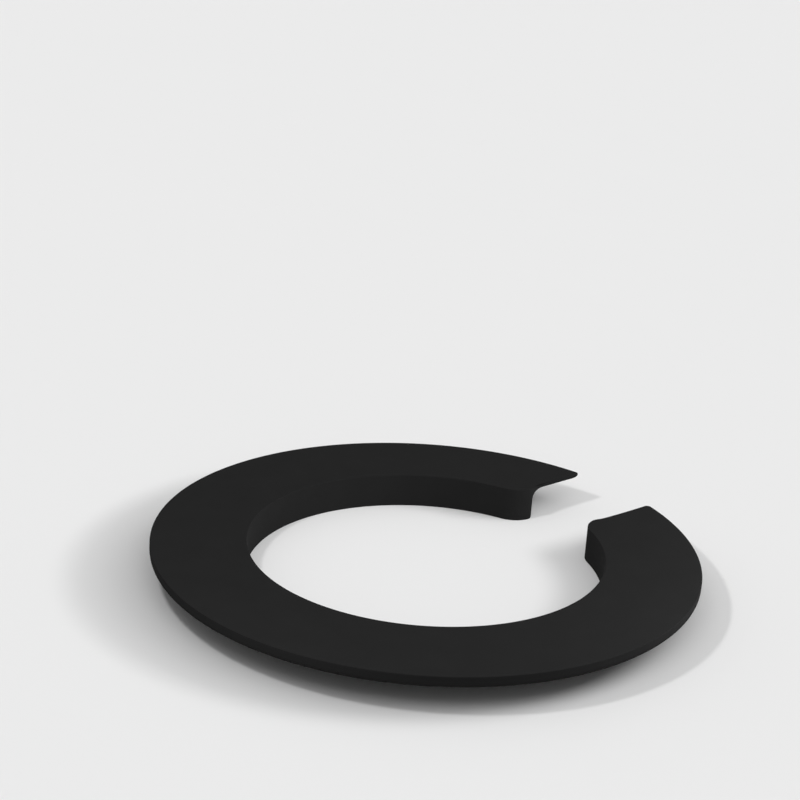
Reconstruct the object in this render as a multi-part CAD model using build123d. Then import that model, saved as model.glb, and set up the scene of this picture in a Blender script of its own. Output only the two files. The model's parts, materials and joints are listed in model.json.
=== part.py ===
"""Bicycle chain guard: a C-shaped ring printed in one piece.

A short wall stands on the side of the chainring, and a flat flange reaches out from the
wall's top to cover the chain. The ring is open at one place, where the crank arm passes.

Millimetres, +Z up. The origin is on the bore axis, in the plane that the wall stands on.
The opening for the crank arm lies along +X.
"""

from build123d import *

import math
import os

# Driving sizes
outer_radius = 115.0  # rim of the flange, just past the chain
bore_radius = 75.0  # clears the crank spider and its bolts
guard_height = 15.0  # from the seat to the top face
flange_thickness = 5.2
wall_thickness = 13.0  # radial, at the seat
foot_height = 0.8  # upright strip of the wall's outer face, below the cove
crank_gap = 43.3  # between the two flange ends, on the top face
nose_step = 1.55  # how far each wall end stands past its flange end
bore_nose_radius = 12.0  # wall end, on the bore side
chain_nose_radius = 4.5  # wall end, on the chain side
corner_radius = 1.6  # outer corners of the flange, in plan
sweep_length = 8.8  # length of each flange end whose underside rises to the top face
cove_limit = 0.9  # most that the cove may take of the flange's flat underside

# Sizes that follow from them
wall_radius = bore_radius + wall_thickness
underside = guard_height - flange_thickness
rim_radius = flange_thickness / 2
flat_width = outer_radius - rim_radius - wall_radius  # of the flange's underside, without a cove
cove_radius = min(underside - foot_height, cove_limit * flat_width)
flange_gap_half = crank_gap / 2
nose_gap_half = flange_gap_half - nose_step
flange_root_radius = bore_radius + wall_thickness / 2
cut_margin = 1.0  # how far a cutting shape runs past what it cuts


def at_polar(radius, angle):
    """The plan point at a radius and an angle from +X, in radians."""
    return (radius * math.cos(angle), radius * math.sin(angle))


def mirrored(point):
    """The same plan point on the other side of the gap."""
    return (point[0], -point[1])


def arc_about(centre, start, end):
    """The shorter arc about a centre, from one point on it to another."""
    turn_start = math.atan2(start[1] - centre[1], start[0] - centre[0])
    turn_end = math.atan2(end[1] - centre[1], end[0] - centre[0])
    half_turn = math.remainder(turn_end - turn_start, math.tau) / 2
    radius = math.dist(centre, start)
    on_arc = at_polar(radius, turn_start + half_turn)
    return ThreePointArc(start, (centre[0] + on_arc[0], centre[1] + on_arc[1]), end)


def wall_plan():
    """Plan of the wall: two arcs on each nose, each running smoothly into the next."""
    # The chain-side arc touches the outer face from within, and the line of the nose.
    chain_reach = wall_radius - chain_nose_radius
    chain_angle = math.asin((nose_gap_half + chain_nose_radius) / chain_reach)
    chain_centre = at_polar(chain_reach, chain_angle)
    # The bore-side arc touches the bore from outside and the chain-side arc from around it.
    bore_reach = bore_radius + bore_nose_radius
    between = bore_nose_radius - chain_nose_radius
    cosine = (bore_reach**2 + chain_reach**2 - between**2) / (2 * bore_reach * chain_reach)
    bore_angle = chain_angle + math.acos(cosine)
    bore_centre = at_polar(bore_reach, bore_angle)

    on_bore = at_polar(bore_radius, bore_angle)
    on_wall = at_polar(wall_radius, chain_angle)
    along = bore_nose_radius / between
    on_nose = (
        bore_centre[0] + (chain_centre[0] - bore_centre[0]) * along,
        bore_centre[1] + (chain_centre[1] - bore_centre[1]) * along,
    )
    outline = [
        ThreePointArc(on_bore, (-bore_radius, 0), mirrored(on_bore)),
        arc_about(mirrored(bore_centre), mirrored(on_bore), mirrored(on_nose)),
        arc_about(mirrored(chain_centre), mirrored(on_nose), mirrored(on_wall)),
        ThreePointArc(mirrored(on_wall), (-wall_radius, 0), on_wall),
        arc_about(chain_centre, on_wall, on_nose),
        arc_about(bore_centre, on_nose, on_bore),
    ]
    return make_face(Wire(outline))


def flange_ring():
    """The flange as a whole ring, with the lower edge of its rim rounded."""
    section = Plane.XZ * make_face(
        Polyline(
            (flange_root_radius, underside),
            (outer_radius, underside),
            (outer_radius, guard_height),
            (flange_root_radius, guard_height),
            close=True,
        )
    )
    lower_rim = section.vertices().sort_by(Axis.Z)[:2].sort_by(Axis.X)[-1]
    return revolve(fillet(lower_rim, rim_radius), Axis.Z)


def flange_plan():
    """Plan of the flange: a disc with the crank gap cut out and its outer corners rounded."""
    gap = Rectangle(outer_radius + cut_margin, crank_gap, align=(Align.MIN, Align.CENTER))
    disc = Circle(outer_radius) - gap
    corners = disc.vertices().filter_by(lambda corner: corner.X > flange_root_radius)
    return fillet(corners, corner_radius)


def end_sweep(side):
    """What is cut from below one flange end, so that its underside curves up to the top face."""
    top = (side * flange_gap_half, guard_height)
    foot = (side * (flange_gap_half + sweep_length), underside)
    low = underside - cut_margin
    profile = Wire(
        [
            TangentArc(foot, top, tangent=(-side, 0)),
            Line(top, (0, guard_height)),
            Line((0, guard_height), (0, low)),
            Line((0, low), (foot[0], low)),
            Line((foot[0], low), foot),
        ]
    )
    return extrude(Plane.YZ * make_face(profile), outer_radius + cut_margin)


def chain_guard():
    """The wall and the flange as one solid, with a cove all along the inner corner."""
    wall = extrude(wall_plan(), guard_height)
    flange = flange_ring() & extrude(flange_plan(), guard_height)
    flange = flange - end_sweep(1) - end_sweep(-1)
    guard = wall + flange
    seams = new_edges(wall, flange, combined=guard)
    inner_corner = seams.filter_by(lambda seam: seam.center().Z < guard_height - cut_margin / 2)
    return fillet(inner_corner, cove_radius)


os.makedirs("parts", exist_ok=True)
export_step(chain_guard(), "parts/chain_guard.step")
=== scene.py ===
"""Looks of the bicycle chain guard: a C-shaped ring printed in black nylon, on a pale studio floor.

The ring is one closed surface. Its sections are worked out one after another along the ring, from the
back round to the tip of one end, and mirrored across the crank gap for the other half.
"""

import json
import math

import bmesh
import bpy
import numpy as np
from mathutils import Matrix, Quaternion, Vector


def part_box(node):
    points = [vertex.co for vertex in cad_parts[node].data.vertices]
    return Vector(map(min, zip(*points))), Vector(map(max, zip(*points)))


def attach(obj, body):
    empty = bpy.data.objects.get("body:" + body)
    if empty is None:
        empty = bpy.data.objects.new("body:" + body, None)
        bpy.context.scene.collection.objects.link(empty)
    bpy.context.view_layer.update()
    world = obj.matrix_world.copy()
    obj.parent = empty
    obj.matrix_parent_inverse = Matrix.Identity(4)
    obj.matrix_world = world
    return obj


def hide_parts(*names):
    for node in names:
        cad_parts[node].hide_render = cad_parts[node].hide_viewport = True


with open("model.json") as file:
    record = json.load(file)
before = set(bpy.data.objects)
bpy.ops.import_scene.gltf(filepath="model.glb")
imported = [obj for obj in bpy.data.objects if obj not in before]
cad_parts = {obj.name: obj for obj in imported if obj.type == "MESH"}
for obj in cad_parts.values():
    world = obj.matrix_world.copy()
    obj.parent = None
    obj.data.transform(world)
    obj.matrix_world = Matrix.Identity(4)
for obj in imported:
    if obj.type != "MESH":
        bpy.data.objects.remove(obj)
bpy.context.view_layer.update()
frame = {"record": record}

MM = 0.001  # a millimetre in Blender's metres

# Sizes in millimetres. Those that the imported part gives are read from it.
lowest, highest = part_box("chain_guard")
bore_mount = next(mount for mount in frame["record"]["mounts"] if mount["name"] == "bore")
OUTER_RADIUS = -lowest.x / MM
GUARD_HEIGHT = highest.z / MM
BORE_RADIUS = bore_mount["dims"]["r_mm"]
FLANGE_THICKNESS = 5.2
WALL_THICKNESS = 13.0
FOOT_HEIGHT = 0.8  # upright strip of the wall's outer face, below the cove
GAP_HALF = 21.65  # from the middle of the crank gap to a flange end
NOSE_STEP = 1.55  # how far each wall end stands past its flange end
BORE_NOSE_RADIUS = 12.0  # wall end, on the bore side
CHAIN_NOSE_RADIUS = 4.5  # wall end, on the chain side
CORNER_RADIUS = 1.6  # outer corners of the flange, in plan
SWEEP_LENGTH = 8.8  # stretch of each flange end whose underside rises to the top face
EDGE_BREAK = 0.3  # softening that printing leaves along the edges of the upright faces

# Sizes that follow from them
WALL_RADIUS = BORE_RADIUS + WALL_THICKNESS
UNDERSIDE = GUARD_HEIGHT - FLANGE_THICKNESS
COVE_RADIUS = UNDERSIDE - FOOT_HEIGHT
RIM_RADIUS = FLANGE_THICKNESS / 2
NOSE_HALF = GAP_HALF - NOSE_STEP
SWEEP_RADIUS = (SWEEP_LENGTH**2 + FLANGE_THICKNESS**2) / (2 * FLANGE_THICKNESS)
SWEEP_AXIS_Y = GAP_HALF + SWEEP_LENGTH
SWEEP_AXIS_Z = UNDERSIDE + SWEEP_RADIUS
BALL_SWING = SWEEP_RADIUS + COVE_RADIUS  # from the sweep's axis to the middle of the cove's ball

# Rows along half the ring. The three lines that the rows follow have the same number of rows.
BACK_ROWS = 260
RIM_ROWS = 34
CORNER_ROWS = 24
GAP_ROWS = 30
TIP_ROWS = 16
BORE_ROWS = 18
BORE_NOSE_ROWS = 72
CHAIN_NOSE_ROWS = RIM_ROWS + CORNER_ROWS + GAP_ROWS + TIP_ROWS - BORE_ROWS - BORE_NOSE_ROWS
END_ZONE = math.radians(24)  # where the rows leave the plain radial run

# Columns round a section
COVE_STEPS = 20
UNDERSIDE_STEPS = 6
RIM_STEPS = 10
EDGE_STEPS = 4
FLAT_SHARES = (0.01, 0.5, 0.99)  # across a flat face, close to its edges so that it shades flat
WALL_SHARES = (0.02, 0.98)  # up an upright face

# Limits that keep narrow faces whole near the tip
RIM_SHARE = 0.5  # most that the rim's round may take of the underside's width
ONE_EDGE_SHARE = 0.5  # most that a softened edge may take of a face with one such edge
TWO_EDGE_SHARE = 0.25  # most that it may take of a face with two
SMALLEST_WIDTH = 1e-7  # millimetres, in place of no width at all
MERGE_DISTANCE = 1e-7  # metres
SHARP_ANGLE = math.radians(35)


def heading(angle):
    """Unit plan vectors at angles from +X."""
    return np.stack([np.cos(angle), np.sin(angle)], axis=-1)


def arc(centre, radius, start, end, rows, whole=False):
    """Plan points evenly spaced on a circle, from one angle to another, with the last only if whole."""
    return centre + radius * heading(np.linspace(start, end, rows + whole, endpoint=whole))


def lift(plan, height):
    """Plan points raised to a height."""
    return np.concatenate([plan, np.broadcast_to(height, plan.shape[:-1])[..., None]], axis=-1)


def between(start, end, shares):
    """Columns of points at shares of the way from one line of points to another."""
    return start[:, None] + (end - start)[:, None] * np.asarray(shares)[:, None]


def broken_edge(before, corner, after):
    """An edge softened by a parabola that leaves one face at before and joins the other at after.

    At share t of the way, the point is the sum of (1 - t) squared times before, 2 t (1 - t) times
    corner, and t squared times after.
    """
    share = np.linspace(0, 1, EDGE_STEPS + 1)[:, None]
    start, middle, end = before[:, None], corner[:, None], after[:, None]
    return (1 - share) ** 2 * start + 2 * share * (1 - share) * middle + share**2 * end


def left_of(line):
    """Unit plan vectors that point to the left of a line's run, from the steps between its points."""
    along = np.gradient(line, axis=0)
    across = np.stack([-along[:, 1], along[:, 0]], axis=-1)
    return across / np.linalg.norm(across, axis=1, keepdims=True)


# The nose of the wall in plan. Its chain-side arc touches the wall's outer face from within, and the
# line of the nose. Its bore-side arc touches the bore from outside, and the other arc from around it.
AXIS = np.zeros(2)  # of the ring
CHAIN_REACH = WALL_RADIUS - CHAIN_NOSE_RADIUS
CHAIN_ANGLE = math.asin((NOSE_HALF + CHAIN_NOSE_RADIUS) / CHAIN_REACH)
CHAIN_CENTRE = CHAIN_REACH * heading(CHAIN_ANGLE)
BORE_REACH = BORE_RADIUS + BORE_NOSE_RADIUS
ARCS_APART = BORE_NOSE_RADIUS - CHAIN_NOSE_RADIUS
ARCS_COSINE = (BORE_REACH**2 + CHAIN_REACH**2 - ARCS_APART**2) / (2 * BORE_REACH * CHAIN_REACH)
BORE_ANGLE = CHAIN_ANGLE + math.acos(ARCS_COSINE)
BORE_CENTRE = BORE_REACH * heading(BORE_ANGLE)

# Turns of the nose at which the cove ends on the gap's edge, and at which it shrinks to nothing
BALL_REACH = CHAIN_NOSE_RADIUS + COVE_RADIUS
EDGE_Y = SWEEP_AXIS_Y - SWEEP_LENGTH * BALL_SWING / SWEEP_RADIUS
EDGE_TURN = math.asin((EDGE_Y - CHAIN_CENTRE[1]) / BALL_REACH)
TIP_Y = SWEEP_AXIS_Y - math.sqrt(BALL_SWING**2 - (SWEEP_AXIS_Z - GUARD_HEIGHT) ** 2)
TIP_TURN = math.asin((TIP_Y - CHAIN_CENTRE[1]) / BALL_REACH)


def wall_line():
    """Plan points along the wall's outer face and the chain side of its nose, and unit vectors outward.

    Both come from the turn of the outward vector, which falls from half a turn at the back of the ring
    to its least at the tip. On the face a point lies one wall radius along its vector from the axis. On
    the nose it lies one nose radius along it from the middle of the nose's arc.
    """
    turns = [
        np.linspace(math.pi, END_ZONE, BACK_ROWS, endpoint=False),
        np.linspace(END_ZONE, CHAIN_ANGLE, RIM_ROWS + CORNER_ROWS, endpoint=False),
        np.linspace(CHAIN_ANGLE, EDGE_TURN, GAP_ROWS, endpoint=False),
        np.linspace(EDGE_TURN, TIP_TURN, TIP_ROWS + 1),
    ]
    turn = np.concatenate(turns)
    out = heading(turn)
    on_nose = (turn < CHAIN_ANGLE)[:, None]
    wall = np.where(on_nose, CHAIN_CENTRE + CHAIN_NOSE_RADIUS * out, WALL_RADIUS * out)
    return wall, out


def bore_line():
    """Plan points along the bore and round the nose's bore side to the tip, even on each arc."""
    to_chain = CHAIN_CENTRE - BORE_CENTRE
    nose_turn = math.atan2(to_chain[1], to_chain[0]) + math.tau
    tip_turn = TIP_TURN + math.tau
    arcs = [
        arc(AXIS, BORE_RADIUS, math.pi, END_ZONE, BACK_ROWS),
        arc(AXIS, BORE_RADIUS, END_ZONE, BORE_ANGLE, BORE_ROWS),
        arc(BORE_CENTRE, BORE_NOSE_RADIUS, BORE_ANGLE + math.pi, nose_turn, BORE_NOSE_ROWS),
        arc(CHAIN_CENTRE, CHAIN_NOSE_RADIUS, nose_turn, tip_turn, CHAIN_NOSE_ROWS, whole=True),
    ]
    return np.concatenate(arcs)


def flange_outline(cove_end):
    """Plan points along the rim, round the outer corner and along the gap's edge, and then to the tip.

    The rim and the corner are arcs and the edge is a straight line, all evenly spaced. In the last rows
    the cove ends on the top face, so there the outline is the line of its end.
    """
    corner_reach = OUTER_RADIUS - CORNER_RADIUS
    corner_angle = math.asin((GAP_HALF + CORNER_RADIUS) / corner_reach)
    corner_centre = corner_reach * heading(corner_angle)
    corner_end = corner_centre - [0, CORNER_RADIUS]
    edge_end = np.array([CHAIN_CENTRE[0] + BALL_REACH * math.cos(EDGE_TURN), GAP_HALF])
    along_edge = np.linspace(0, 1, GAP_ROWS, endpoint=False)[:, None]
    stretches = [
        arc(AXIS, OUTER_RADIUS, math.pi, END_ZONE, BACK_ROWS),
        arc(AXIS, OUTER_RADIUS, END_ZONE, corner_angle, RIM_ROWS),
        arc(corner_centre, CORNER_RADIUS, corner_angle, -math.pi / 2, CORNER_ROWS),
        corner_end + (edge_end - corner_end) * along_edge,
        cove_end[-TIP_ROWS - 1 :],
    ]
    return np.concatenate(stretches)


def past_sweep_axis(plan, limit):
    """How far plan points lie past the sweep's axis, towards the crank gap, up to a limit."""
    past = np.clip(SWEEP_AXIS_Y - plan[..., 1], 0, limit)
    return np.where(plan[..., 0] > 0, past, 0)


def cove_surface(wall, out):
    """The cove: arcs of a ball that rolls along the wall, pressed up against the flange.

    wall holds the plan points of the wall's face, and out the unit vectors out of it. The ball's middle
    is one radius from the wall, at the height where it touches the flat underside or the sweep. Each
    arc turns evenly on the ball from the touch on the wall to the touch on the flange, and where that
    lies above the top face it stops at the top face.
    """
    middle = wall + COVE_RADIUS * out
    towards_gap = past_sweep_axis(middle, BALL_SWING)
    below_axis = np.sqrt(BALL_SWING**2 - towards_gap**2)
    height = SWEEP_AXIS_Z - below_axis
    to_wall = lift(-out, 0.0)
    to_flange = np.stack([np.zeros_like(height), towards_gap, below_axis], axis=-1) / BALL_SWING
    swing = np.arccos(np.sum(to_wall * to_flange, axis=1))
    # The top face's rise above the ball's middle, as a share of the flange touch's rise
    room = (GUARD_HEIGHT - height) / COVE_RADIUS / to_flange[:, 2]
    reach = np.minimum(swing, np.arcsin(np.clip(room * np.sin(swing), 0, 1)))
    reach = np.where(room >= 1, swing, reach)
    turn = (np.linspace(0, 1, COVE_STEPS + 1) * reach[:, None])[..., None]
    swing = swing[:, None, None]
    direction = np.sin(swing - turn) * to_wall[:, None] + np.sin(turn) * to_flange[:, None]
    return lift(middle, height)[:, None] + COVE_RADIUS * direction / np.sin(swing)


def underside_height(plan):
    """Height of the flange's lower surface: the higher of its ring section and its swept-up end.

    The section is flat out to the rim, where it climbs a quarter circle. The end is flat as far as the
    sweep's axis, and then climbs a circle about that axis, towards the crank gap.
    """
    outward = np.linalg.norm(plan, axis=-1) - (OUTER_RADIUS - RIM_RADIUS)
    outward = np.clip(outward, 0, RIM_RADIUS)
    section = UNDERSIDE + RIM_RADIUS - np.sqrt(RIM_RADIUS**2 - outward**2)
    towards_gap = past_sweep_axis(plan, SWEEP_LENGTH)
    end = SWEEP_AXIS_Z - np.sqrt(SWEEP_RADIUS**2 - towards_gap**2)
    return np.maximum(section, end)


def flange_underside(cove_end, outline):
    """The flange's lower surface, in columns from the end of the cove to the outline.

    The columns are evenly spaced on the flat. On the rim's round they lie at the sines of even angles,
    which spaces them evenly round its quarter circle.
    """
    inward = cove_end - outline
    width = np.maximum(np.linalg.norm(inward, axis=1, keepdims=True), SMALLEST_WIDTH)
    rim_start = outline + inward * np.minimum(RIM_RADIUS / width, RIM_SHARE)
    flat_shares = np.linspace(0, 1, UNDERSIDE_STEPS + 1)[1:-1]
    rim_shares = np.sin(np.linspace(0, math.pi / 2, RIM_STEPS + 1))
    flat = between(cove_end, rim_start, flat_shares)
    rim = between(rim_start, outline, rim_shares)
    plan = np.concatenate([flat, rim], axis=1)
    return lift(plan, underside_height(plan))


def half_ring():
    """Sections of the half with positive Y, as rows from the back of the ring to the tip of the nose.

    Three lines are followed together: the wall's outer face, the bore side of the wall and the outline
    of the flange. All three end at the tip, where the cove meets the top face, so the last row is
    upright. Each section is a loop: up the wall and the cove, out under the flange, up the rim, in
    across the top face, down the bore and out across the seat.
    """
    wall, out = wall_line()
    bore = bore_line()
    cove = cove_surface(wall, out)
    cove_end = cove[:, -1, :2]
    outline = flange_outline(cove_end)
    lower = flange_underside(cove_end, outline)

    # Softened edges shrink to nothing where the faces beside them do
    rim_room = GUARD_HEIGHT - lower[:, -1, 2]
    top_room = np.linalg.norm(outline - bore, axis=1)
    seat_room = np.linalg.norm(wall - bore, axis=1)
    rim_break = np.minimum(EDGE_BREAK, rim_room * ONE_EDGE_SHARE)[:, None]
    bore_break = np.minimum(EDGE_BREAK, top_room * TWO_EDGE_SHARE)[:, None]
    seat_break = np.minimum(EDGE_BREAK, seat_room * TWO_EDGE_SHARE)[:, None]

    up = np.array([0.0, 0.0, 1.0])
    wall_foot = lift(wall, 0.0)
    wall_seat = wall_foot - lift(seat_break * out, 0.0)
    wall_side = wall_foot + seat_break * up
    rim_top = lift(outline, GUARD_HEIGHT)
    rim_side = rim_top - rim_break * up
    rim_face = rim_top - lift(rim_break * left_of(outline), 0.0)
    bore_top = lift(bore, GUARD_HEIGHT)
    bore_face = bore_top + lift(bore_break * left_of(bore), 0.0)
    bore_side = bore_top - bore_break * up
    bore_foot = lift(bore, 0.0)
    bore_low = bore_foot + seat_break * up
    bore_seat = bore_foot + lift(seat_break * left_of(bore), 0.0)
    columns = [
        broken_edge(wall_seat, wall_foot, wall_side),
        between(wall_side, cove[:, 0], WALL_SHARES),
        cove,
        lower,
        between(lower[:, -1], rim_side, WALL_SHARES),
        broken_edge(rim_side, rim_top, rim_face),
        between(rim_face, bore_face, FLAT_SHARES),
        broken_edge(bore_face, bore_top, bore_side),
        between(bore_side, bore_low, WALL_SHARES),
        broken_edge(bore_low, bore_foot, bore_seat),
        between(bore_seat, wall_seat, FLAT_SHARES),
    ]
    return np.concatenate(columns, axis=1)


def mesh_from_rows(name, rows):
    """A mesh of the faces between neighbouring rows, each a closed loop, with what coincides merged."""
    count, loop = rows.shape[:2]
    row, column = np.meshgrid(np.arange(count - 1), np.arange(loop), indexing="ij")
    here, ahead = row * loop, (row + 1) * loop
    beside = (column + 1) % loop
    corners = [here + column, ahead + column, ahead + beside, here + beside]
    faces = np.stack(corners, axis=-1).reshape(-1, 4)
    mesh = bpy.data.meshes.new(name)
    mesh.from_pydata((rows * MM).reshape(-1, 3).tolist(), [], faces.tolist())
    work = bmesh.new()
    work.from_mesh(mesh)
    bmesh.ops.remove_doubles(work, verts=work.verts, dist=MERGE_DISTANCE)
    bmesh.ops.dissolve_degenerate(work, edges=work.edges, dist=MERGE_DISTANCE)
    bmesh.ops.recalc_face_normals(work, faces=work.faces)
    work.to_mesh(mesh)
    work.free()
    mesh.shade_smooth()
    mesh.set_sharp_from_angle(angle=SHARP_ANGLE)
    return mesh


def guard_ring():
    """The whole guard: the worked-out half and its mirror image, joined at the back."""
    half = half_ring()
    mirrored = half * [1, -1, 1]
    mesh = mesh_from_rows("guard_ring", np.concatenate([mirrored[:0:-1], half]))
    ring = bpy.data.objects.new("guard_ring", mesh)
    bpy.context.scene.collection.objects.link(ring)
    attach(ring, "root")
    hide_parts("chain_guard")
    return ring


# Materials

DARK_DYE = "#1d1d1d"
LIGHT_DYE = "#202020"
PALE = "#ebebeb"  # floor and walls of the studio


def linear(code):
    """A colour written as an sRGB hex code, as linear red, green, blue and alpha."""
    shares = [int(code[at : at + 2], 16) / 255 for at in (1, 3, 5)]
    return [s / 12.92 if s <= 0.04045 else ((s + 0.055) / 1.055) ** 2.4 for s in shares] + [1.0]


def add_node(tree, kind, settings, sockets):
    """A node of a kind, with its settings, and a value or another node's output for each socket."""
    node = tree.nodes.new(kind)
    for name, value in settings.items():
        setattr(node, name, value)
    for name, value in sockets.items():
        if isinstance(value, bpy.types.NodeSocket):
            tree.links.new(value, node.inputs[name])
        else:
            node.inputs[name].default_value = value
    return node


def new_material(name):
    """An empty material and its node tree."""
    material = bpy.data.materials.new(name)
    material.use_nodes = True
    material.node_tree.nodes.clear()
    return material, material.node_tree


def sintered_nylon():
    """Nylon powder fused by a laser and dyed black: matt all over, with a grain of half-melted powder.

    The powder is about 0.06 mm across, too fine to show, so the grain is drawn ten times as coarse.
    The dye takes a little more in some patches than in others. The grains scatter nearly all the light
    that they reflect, so the gloss is far below that of moulded nylon.
    """
    grain_size = 0.6 * MM
    grain_depth = 0.05 * MM
    patch_size = 14 * MM
    smoothest, roughest = 0.84, 0.96
    material, tree = new_material("sintered_nylon_black")
    place = add_node(tree, "ShaderNodeTexCoord", {}, {}).outputs["Object"]
    grain = add_node(
        tree,
        "ShaderNodeTexNoise",
        {},
        {"Vector": place, "Scale": 1 / grain_size, "Detail": 3.0, "Roughness": 0.6},
    ).outputs["Fac"]
    patches = add_node(
        tree,
        "ShaderNodeTexNoise",
        {},
        {"Vector": place, "Scale": 1 / patch_size, "Detail": 2.0},
    ).outputs["Fac"]
    # A Mix node's inputs 6 and 7 are the colours that it mixes, and its output 2 is the result
    colour = add_node(
        tree,
        "ShaderNodeMix",
        {"data_type": "RGBA"},
        {0: patches, 6: linear(DARK_DYE), 7: linear(LIGHT_DYE)},
    )
    roughness = add_node(
        tree,
        "ShaderNodeMapRange",
        {},
        {"Value": grain, "To Min": smoothest, "To Max": roughest},
    )
    bump = add_node(
        tree,
        "ShaderNodeBump",
        {},
        {"Strength": 0.15, "Distance": grain_depth, "Height": grain},
    )
    surface = add_node(
        tree,
        "ShaderNodeBsdfPrincipled",
        {},
        {
            "Base Color": colour.outputs[2],
            "Roughness": roughness.outputs["Result"],
            "IOR": 1.52,
            "Specular IOR Level": 0.02,
            "Normal": bump.outputs["Normal"],
        },
    )
    add_node(tree, "ShaderNodeOutputMaterial", {}, {"Surface": surface.outputs["BSDF"]})
    return material


def floor_paint():
    """Matt paint on the studio floor, which scatters all its light and shows no gloss."""
    material, tree = new_material("floor_paint")
    surface = add_node(
        tree,
        "ShaderNodeBsdfPrincipled",
        {},
        {"Base Color": linear(PALE), "Roughness": 1.0, "Specular IOR Level": 0.0},
    )
    add_node(tree, "ShaderNodeOutputMaterial", {}, {"Surface": surface.outputs["BSDF"]})
    return material


# Studio

FLOOR_HALF = 6.0  # metres, from the middle of the floor to a side
CAMERA_PLACE = (-490.3, -533.7, 343.3)  # millimetres
CAMERA_HEADING = math.radians(48.617)  # from +X
CAMERA_PITCH = math.radians(20.086)  # below level
CAMERA_ROLL = math.radians(3.848)
CAMERA_LENS = 85.23  # millimetres, on a sensor of SENSOR_WIDTH
SENSOR_WIDTH = 36.0
WALL_LEVEL = 1.0  # the studio's walls where they are seen
FILL_LEVEL = 0.458  # and the light that they give
PLAIN_BLEND = 0.5  # at which Layer Weight's Facing is one minus the cosine
BEAM_POWER = 4.0  # of the cosine, by which a plain lamp's light falls off across a floor
LOWEST_COSINE = 0.03  # where a soft box's beam stops growing, some 8 metres off or farther
GLOBE_RADIUS = 30  # millimetres


def studio_floor():
    """A wide flat floor in the plane of the guard's seat."""
    half = FLOOR_HALF
    mesh = bpy.data.meshes.new("floor")
    corners = [(-half, -half, 0), (half, -half, 0), (half, half, 0), (-half, half, 0)]
    mesh.from_pydata(corners, [], [(0, 1, 2, 3)])
    mesh.materials.append(floor_paint())
    floor = bpy.data.objects.new("floor", mesh)
    bpy.context.scene.collection.objects.link(floor)


def studio_camera():
    """The photograph's viewpoint: a long lens, a little above the floor and slightly rolled."""
    ahead = math.cos(CAMERA_PITCH) * heading(CAMERA_HEADING)
    look = Vector((*ahead, -math.sin(CAMERA_PITCH)))
    data = bpy.data.cameras.new("camera")
    data.sensor_width = SENSOR_WIDTH
    data.lens = CAMERA_LENS
    camera = bpy.data.objects.new("camera", data)
    camera.rotation_mode = "QUATERNION"
    camera.location = Vector(CAMERA_PLACE) * MM
    camera.rotation_quaternion = look.to_track_quat("-Z", "Y") @ Quaternion((0, 0, 1), CAMERA_ROLL)
    bpy.context.scene.collection.objects.link(camera)
    bpy.context.scene.camera = camera


def studio_walls():
    """The walls beyond the floor: as pale as the floor where they are seen, and a weak light."""
    world = bpy.data.worlds.new("studio")
    bpy.context.scene.world = world
    world.use_nodes = True
    tree = world.node_tree
    tree.nodes.clear()
    path = add_node(tree, "ShaderNodeLightPath", {}, {}).outputs
    mirrored = add_node(
        tree,
        "ShaderNodeMath",
        {"operation": "ADD"},
        {0: path["Is Glossy Ray"], 1: path["Is Transmission Ray"]},
    )
    seen = add_node(
        tree,
        "ShaderNodeMath",
        {"operation": "ADD", "use_clamp": True},
        {0: path["Is Camera Ray"], 1: mirrored.outputs[0]},
    )
    fill = add_node(tree, "ShaderNodeBackground", {}, {"Color": linear(PALE), "Strength": FILL_LEVEL})
    wall = add_node(tree, "ShaderNodeBackground", {}, {"Color": linear(PALE), "Strength": WALL_LEVEL})
    light = add_node(
        tree,
        "ShaderNodeMixShader",
        {},
        {0: seen.outputs[0], 1: fill.outputs[0], 2: wall.outputs[0]},
    )
    add_node(tree, "ShaderNodeOutputWorld", {}, {"Surface": light.outputs[0]})


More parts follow.
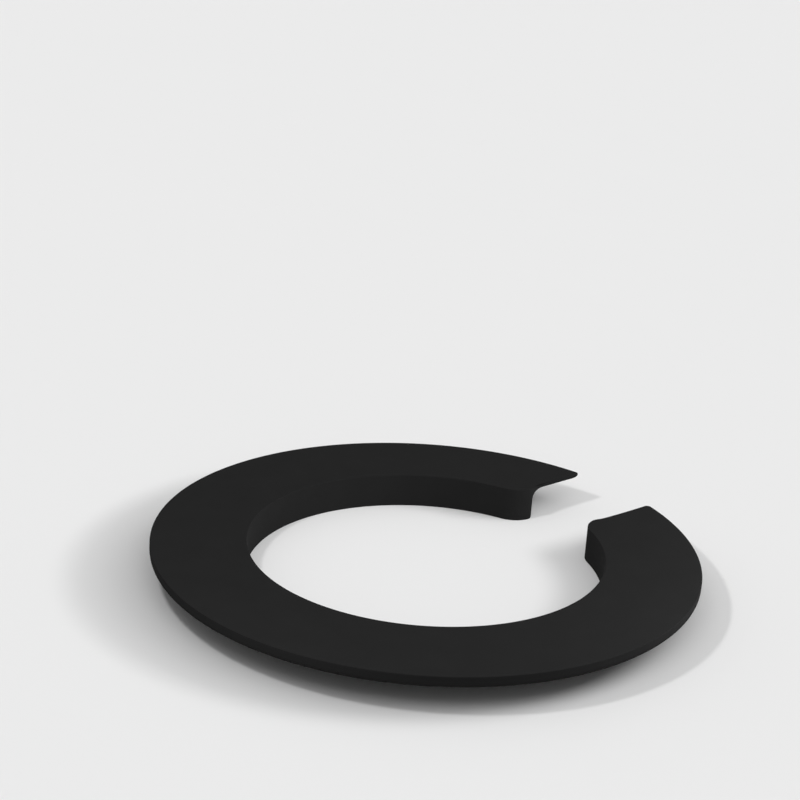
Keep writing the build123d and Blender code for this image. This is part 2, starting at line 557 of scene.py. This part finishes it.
def soft_box(name, place, radius, level):
    """A round soft box that hangs level at a place in millimetres, and lights the floor below evenly.

    A box that is equally bright from all sides lights a spot of floor by the fourth power of the cosine
    of the spot's angle from straight down, so the brightness is divided by that power. At level 1 the
    box alone lights a white floor to white.
    """
    height = place[2] * MM
    data = bpy.data.lights.new(name, "AREA")
    data.shape = "DISK"
    data.size = 2 * radius * MM
    data.energy = level * (math.pi * height) ** 2
    data.use_nodes = True
    tree = data.node_tree
    tree.nodes.clear()
    aslant = add_node(tree, "ShaderNodeLayerWeight", {}, {"Blend": PLAIN_BLEND}).outputs["Facing"]
    cosine = add_node(tree, "ShaderNodeMath", {"operation": "SUBTRACT"}, {0: 1.0, 1: aslant})
    limited = add_node(
        tree,
        "ShaderNodeMath",
        {"operation": "MAXIMUM"},
        {0: cosine.outputs[0], 1: LOWEST_COSINE},
    )
    beam = add_node(
        tree,
        "ShaderNodeMath",
        {"operation": "POWER"},
        {0: limited.outputs[0], 1: -BEAM_POWER},
    )
    glow = add_node(tree, "ShaderNodeEmission", {}, {"Strength": beam.outputs[0]})
    add_node(tree, "ShaderNodeOutputLight", {}, {"Surface": glow.outputs[0]})
    box = bpy.data.objects.new(name, data)
    box.location = Vector(place) * MM
    box.visible_camera = False
    bpy.context.scene.collection.objects.link(box)


def globe_lamp(name, place, level, lit):
    """A frosted globe close to the guard, at a place in millimetres, that lights one collection alone.

    Its light grows weaker with the square of the distance. At level 1 it lights a white card that faces
    it from the origin to white.
    """
    data = bpy.data.lights.new(name, "POINT")
    data.shadow_soft_size = GLOBE_RADIUS * MM
    globe = bpy.data.objects.new(name, data)
    globe.location = Vector(place) * MM
    globe.visible_camera = False
    globe.light_linking.receiver_collection = lit
    data.energy = level * (2 * math.pi * globe.location.length) ** 2
    bpy.context.scene.collection.objects.link(globe)


def studio_light(guard):
    """Pale walls, a small soft box on the camera's left, two on its right and one in front.

    Three weak globes stand close to the guard: at the right front, at the left front and low beside
    the gap. They light the guard alone, so the floor stays even.
    """
    studio_walls()
    soft_box("left", place=(-237.8, 56.5, 351.0), radius=25, level=0.184)
    soft_box("right", place=(307.2, -226.5, 238.5), radius=120, level=0.198)
    soft_box("far_right", place=(477.4, -420.9, 636.4), radius=400, level=0.117)
    soft_box("front", place=(-227.6, -258.1, 491.5), radius=250, level=0.121)
    guard_alone = bpy.data.collections.new("guard_alone")
    guard_alone.objects.link(guard)
    globe_lamp("right_globe", place=(63.8, -189.6, 80.0), level=0.24, lit=guard_alone)
    globe_lamp("left_globe", place=(-189.6, -63.8, 80.0), level=0.105, lit=guard_alone)
    globe_lamp("gap_globe", place=(165.7, -99.4, 35.0), level=0.17, lit=guard_alone)


guard = guard_ring()
guard.data.materials.append(sintered_nylon())
studio_floor()
studio_camera()
studio_light(guard)
bpy.context.scene.view_settings.view_transform = "Standard"
